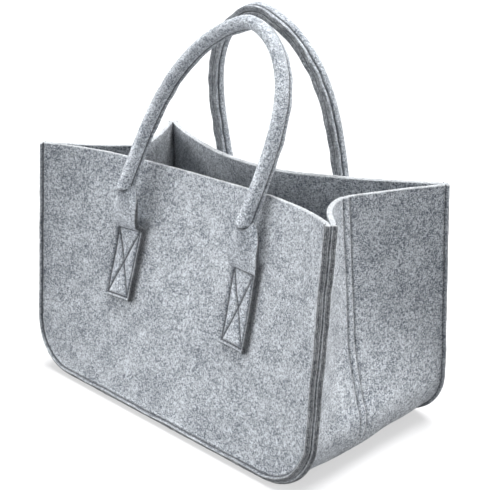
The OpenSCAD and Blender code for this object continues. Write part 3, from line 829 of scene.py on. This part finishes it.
def makeStrap(face):
    half = np.concatenate([np.linspace(*strapCut["middle"]), strapCut["edges"]])
    places = np.concatenate([-half[::-1][:-1], half])
    cols = len(places)
    tabZ = np.concatenate([np.linspace(handle["tabLow"], handle["boxTop"], strapCut["tabRows"]),
                           np.linspace(handle["boxTop"], handle["flex"], strapCut["topRows"])[1:]])
    uTab = places[None, :] * handle["tabWidth"] / 2
    tabs = {}
    for side in (-1, 1):
        u = np.tile(uTab * (face * side), (len(tabZ), 1))
        tabs[side] = tabPoint(side, face, u, np.tile(tabZ[:, None], (1, cols)), felt / 2)
    path, fold, archLength = strapPath(face)
    width = (handle["tabWidth"] + (handle["archWidth"] - handle["tabWidth"]) * fold) / 2
    rows = np.concatenate([tabs[-1], foldedRows(face, places, path, fold, width), tabs[1][::-1]])
    share = np.concatenate([np.zeros(len(tabZ)), fold, np.zeros(len(tabZ))])
    count = len(rows)
    # How far the strip's two faces lie from its middle, with what the thread presses in
    lineAt = handle["archWidth"] / 2 - handle["seamIn"]
    tabHalf = np.full(len(tabZ), handle["tabWidth"] / 2)
    fromMiddle = places[None, :] * np.concatenate([tabHalf, width, tabHalf])[:, None]
    fromLine = np.abs(np.abs(fromMiddle) - lineAt)
    sewn = np.clip((share - handle["seamFrom"]) / 0.2, 0, 1)
    # The thread's groove darkens the felt as well, partly pressed fibres and partly painted shade
    pressed = np.exp(-(fromLine / handle["grooveWidth"]) ** 2) * sewn[:, None]
    high = felt / 2 - handle["groove"] * pressed
    low = -felt / 2 + 0.3 * handle["groove"] * pressed
    # Each tab puffs up between its stitches, and at its border
    zTab = np.concatenate([tabZ, np.full(len(fold), 1e4), tabZ[::-1]])
    box = boxDistance(np.tile(uTab, (count, 1)), np.tile(zTab[:, None], (1, cols)))
    high -= handle["boxGroove"] * np.exp(-(box / handle["boxGrooveWidth"]) ** 2)
    # Along the box stitch the felt is darkened: painted shade in the groove, partly pressed felt
    pressed = pressed + np.exp(-(box / handle["boxMark"]) ** 2)
    puff = np.clip(box / handle["puffReach"], 0, 1)
    border = np.clip((np.abs(uTab) - handle["boxWidth"] / 2) / handle["borderReach"], 0, 1)
    high += handle["tabPuff"] * puff * (zTab < handle["boxTop"])[:, None]
    high += handle["borderRise"] * border * (zTab < 1e3)[:, None]
    # The rolled part ends at each leg in a crease, an arc across the strip
    step = alongLine(rows[:, cols // 2])
    first = len(tabZ) + strapCut["flareRows"] - 1
    last = first + strapCut["archRows"]
    for end, way in ((first, 1), (last - 1, -1)):
        curve = creaseArc["curve"] * (fromMiddle + creaseArc["shift"] * way * face) ** 2
        past = way * (step[:, None] - step[end]) + creaseArc["ahead"] - curve
        inMiddle = np.exp(-(fromMiddle / creaseArc["across"]) ** 4)
        arc = np.exp(-(past / creaseArc["width"]) ** 2) * inMiddle
        roll = np.exp(-((past - creaseArc["rollAt"]) / creaseArc["rollWidth"]) ** 2) * inMiddle
        high += creaseArc["rollHeight"] * roll - creaseArc["depth"] * arc
        # The crease's arc is darkened with painted shade
        pressed = pressed + arc
    # The cut edges of the tabs and flares get painted shade, darker than the rest of the felt
    edgeShade = np.repeat(handle["edgeShade"] * np.clip((1.0 - share) / 0.3, 0, 1), cols)
    name = "frontStrapFelt" if face < 0 else "backStrapFelt"
    obj, above, normals = feltSolid(name, rows.reshape(-1, 3), gridFaces(count, cols), low.reshape(-1),
                                    high.reshape(-1), [handleFelt, strapEdge],
                                    np.clip(pressed, 0, 1).reshape(-1), edgeShade=edgeShade)
    # Lines for the thread
    lines = []
    for c in (int(np.argmin(np.abs(places * handle["archWidth"] / 2 - e * lineAt))) for e in (-1, 1)):
        pick = np.arange(first, last) * cols + c
        lines.append((above[pick], normals[pick]))
    boxes = []
    for side in (-1, 1):
        for a, b in boxLines():
            t = np.linspace(0.015, 0.985, 40)
            u, z = a[0] + (b[0] - a[0]) * t, a[1] + (b[1] - a[1]) * t
            p = tabPoint(side, face, u, z, felt - handle["boxGroove"])
            n = unit(tabPoint(side, face, u, z, felt + 1) - tabPoint(side, face, u, z, felt))
            boxes.append((p, n))
    return obj, lines, boxes, archLength


frontStrap, frontLines, frontBoxes, frontArch = makeStrap(-1)
backStrap, backLines, backBoxes, backArch = makeStrap(1)
print("handles made")

# Stitches, laid along lines by Geometry Nodes

stitchLook = {"pitch": 4.2, "length": 3.1, "tabPitch": 3.9, "tabLength": 3.0,
              "width": 1.3, "height": 0.9, "lift": 0.15, "jitter": 0.10, "seed": 3}


def buildStitchTree():
    tree, sockets, source, sink = newTree("stitchRow", "GeometryNodeTree", [
        ("Geometry", "Geometry", None),
        ("Pitch", "Float", 0.004),
        ("Length", "Float", 0.003),
        ("Width", "Float", 0.001),
        ("Height", "Float", 0.0008),
        ("Jitter", "Float", 0.1),
        ("Seed", "Int", 3),
        ("Thread", "Material", None),
    ], [("Geometry", "Geometry")])
    node, link = tree.nodes.new, tree.links.new
    curve = node("GeometryNodeMeshToCurve")
    link(source.outputs["Geometry"], curve.inputs[0])
    even = node("GeometryNodeResampleCurve")
    even.mode = "LENGTH"
    link(curve.outputs[0], even.inputs["Curve"])
    link(source.outputs["Pitch"], even.inputs["Length"])
    # One stitch: a slim bead
    bead = node("GeometryNodeMeshUVSphere")
    bead.inputs["Segments"].default_value = 8
    bead.inputs["Rings"].default_value = 6
    bead.inputs["Radius"].default_value = 0.5
    lay = node("GeometryNodeTransform")
    lay.inputs["Rotation"].default_value = (0, math.pi / 2, 0)  # poles to the ends
    link(bead.outputs["Mesh"], lay.inputs["Geometry"])
    smooth = node("GeometryNodeSetShadeSmooth")
    link(lay.outputs[0], smooth.inputs[0])
    size = node("ShaderNodeCombineXYZ")
    for k, label in enumerate(("Length", "Width", "Height")):
        link(source.outputs[label], size.inputs[k])
    stretch = node("GeometryNodeTransform")
    link(smooth.outputs[0], stretch.inputs["Geometry"])
    link(size.outputs[0], stretch.inputs["Scale"])
    tangent = node("GeometryNodeInputTangent")
    normal = node("GeometryNodeInputNamedAttribute")
    normal.data_type = "FLOAT_VECTOR"
    normal.inputs["Name"].default_value = "outward"
    first = node("FunctionNodeAlignRotationToVector")
    first.axis = "X"
    link(tangent.outputs[0], first.inputs["Vector"])
    second = node("FunctionNodeAlignRotationToVector")
    second.axis = "Z"
    second.pivot_axis = "X"
    link(first.outputs[0], second.inputs["Rotation"])
    link(normal.outputs[0], second.inputs["Vector"])
    wobble = node("FunctionNodeRandomValue")
    wobble.data_type = "FLOAT_VECTOR"
    for k, sign in enumerate((-1, 1)):
        limit = node("ShaderNodeVectorMath")
        limit.operation = "SCALE"
        limit.inputs[0].default_value = (sign * 0.15, sign * 0.3, sign)
        link(source.outputs["Jitter"], limit.inputs["Scale"])
        link(limit.outputs[0], wobble.inputs[k])
    link(source.outputs["Seed"], wobble.inputs["Seed"])
    turn = node("FunctionNodeRotateRotation")
    turn.rotation_space = "LOCAL"
    toTurn = node("FunctionNodeEulerToRotation")
    link(wobble.outputs[0], toTurn.inputs[0])
    link(second.outputs[0], turn.inputs[0])
    link(toTurn.outputs[0], turn.inputs[1])
    place = node("GeometryNodeInstanceOnPoints")
    link(even.outputs[0], place.inputs["Points"])
    link(stretch.outputs[0], place.inputs["Instance"])
    link(turn.outputs[0], place.inputs["Rotation"])
    real = node("GeometryNodeRealizeInstances")
    paint = node("GeometryNodeSetMaterial")
    link(place.outputs[0], real.inputs[0])
    link(real.outputs[0], paint.inputs["Geometry"])
    link(source.outputs["Thread"], paint.inputs["Material"])
    link(paint.outputs[0], sink.inputs[0])
    return tree, sockets


stitchTree, stitchSockets = buildStitchTree()


def sewLines(name, lines, pitch=stitchLook["pitch"], length=stitchLook["length"]):
    # lines: (points, normals) pairs in millimetres
    points, edges, ways = [], [], []
    for p, n in lines:
        start = len(points)
        points += ((p + n * stitchLook["lift"]) * 0.001).tolist()
        ways += n.tolist()
        edges += [(start + i, start + i + 1) for i in range(len(p) - 1)]
    mesh = bpy.data.meshes.new(name + "Line")
    mesh.from_pydata(points, edges, [])
    attribute = mesh.attributes.new("outward", "FLOAT_VECTOR", "POINT")
    attribute.data.foreach_set("vector", np.array(ways, dtype=np.float32).reshape(-1))
    guide = placeObject(name + "Line", mesh)
    modifier = guide.modifiers.new("stitches", "NODES")
    modifier.node_group = stitchTree
    values = {"Pitch": pitch * 0.001, "Length": length * 0.001,
              "Width": stitchLook["width"] * 0.001, "Height": stitchLook["height"] * 0.001,
              "Jitter": stitchLook["jitter"], "Seed": stitchLook["seed"], "Thread": threadYarn}
    for label, value in values.items():
        modifier[stitchSockets[label]] = value
    bpy.context.view_layer.update()
    evaluated = guide.evaluated_get(bpy.context.evaluated_depsgraph_get())
    made = bpy.data.meshes.new_from_object(evaluated)
    guide.modifiers.clear()
    bpy.data.objects.remove(guide)
    made.name = name
    print(name, len(made.polygons), "faces")
    return placeObject(name, made)


frontSeamThread = sewLines("frontSeamStitches", [frontSeamLine, gussetSeamLines[0]])
backSeamThread = sewLines("backSeamStitches", [backSeamLine, gussetSeamLines[1]])
frontTabThread = sewLines("frontTabStitches", frontBoxes, stitchLook["tabPitch"], stitchLook["tabLength"])
backTabThread = sewLines("backTabStitches", backBoxes, stitchLook["tabPitch"], stitchLook["tabLength"])
frontStrapThread = sewLines("frontStrapStitches", frontLines)
backStrapThread = sewLines("backStrapStitches", backLines)
print("stitches made")

# The model's parts that these pieces stand in for are hidden; most pieces are attached to the body they move
# with, and the straps are only baked in place

for piece, nodes in (
        (frontPanel, ["front_panel"]), (backPanel, ["back_panel"]), (gusset, ["gusset"]),
        (frontStrap, ["front_handle", "front_left_tab", "front_right_tab"]),
        (backStrap, ["back_handle", "back_left_tab", "back_right_tab"]),
        (frontSeamThread, ["front_seam_thread"]), (backSeamThread, ["back_seam_thread"]),
        (frontTabThread, ["front_left_tab_stitch", "front_right_tab_stitch"]),
        (backTabThread, ["back_left_tab_stitch", "back_right_tab_stitch"]),
        (frontStrapThread, ["front_handle_thread"]), (backStrapThread, ["back_handle_thread"])):
    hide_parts(*nodes)
for piece in (frontPanel, backPanel, gusset, frontSeamThread, backSeamThread, frontTabThread, backTabThread):
    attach(piece, "bag")
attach(frontStrapThread, "front_handle")
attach(backStrapThread, "back_handle")
for strap, face, body in ((frontStrap, -1, "front_handle"), (backStrap, 1, "back_handle")):
    y = 0.001 * flexY(face)
    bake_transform(strap)
for name in ("front_handle_core", "back_handle_core"):
    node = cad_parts[name]
    node.data.materials.clear()
    node.data.materials.append(cordYarn)
# Floor and light

lightPlan = {
    "world": 0.30, "backdrop": 1.0,
    "suns": [  # name, way to the light, strength, softness in degrees
        ("topLight", (0.0, 0.16, 1.0), 5.8, 45),
        ("keyLight", (-0.66, -0.72, 0.24), 2.65, 50),
        ("rimLight", (0.46, 0.84, 0.32), 1.5, 16),
    ],
    "floor": (0.34, 0.34, 0.345, 1), "floorSize": 30.0,
    "floorLift": 0.55,  # what the camera alone sees added, so that shadows stay faint
}


def addFloor():
    size = lightPlan["floorSize"]
    mesh = bpy.data.meshes.new("floor")
    corners = [(-size, -size, 0), (size, -size, 0), (size, size, 0), (-size, size, 0)]
    mesh.from_pydata(corners, [], [(0, 1, 2, 3)])
    mat = bpy.data.materials.new("paleFloor")
    mat.use_nodes = True
    tree = mat.node_tree
    shader = tree.nodes["Principled BSDF"]
    shader.inputs["Base Color"].default_value = lightPlan["floor"]
    shader.inputs["Emission Strength"].default_value = lightPlan["floorLift"]
    sight = tree.nodes.new("ShaderNodeLightPath").outputs["Is Camera Ray"]
    tree.links.new(sight, shader.inputs["Emission Color"])
    shader.inputs["Roughness"].default_value = 0.9
    shader.inputs["Specular IOR Level"].default_value = 0.1
    mesh.materials.append(mat)
    placeObject("floor", mesh)


def addLights():
    world = bpy.data.worlds.new("studio")
    world.use_nodes = True
    tree = world.node_tree
    sight = tree.nodes.new("ShaderNodeLightPath").outputs["Is Camera Ray"]
    dim, bright = lightPlan["world"], lightPlan["backdrop"]
    power = mathNode(tree, "MULTIPLY_ADD", sight, bright - dim, dim)
    background = tree.nodes["Background"]
    background.inputs["Color"].default_value = (1, 1, 1, 1)
    tree.links.new(power, background.inputs["Strength"])
    bpy.context.scene.world = world
    for name, way, power, softness in lightPlan["suns"]:
        data = bpy.data.lights.new(name, "SUN")
        data.angle = math.radians(softness)
        data.energy = power
        lamp = placeObject(name, data)
        lamp.location = Vector(way) * 2
        lamp.rotation_euler = Vector(way).to_track_quat("Z", "Y").to_euler()
    bpy.context.scene.view_settings.view_transform = "Standard"


addFloor()
addLights()
print("studio lit")
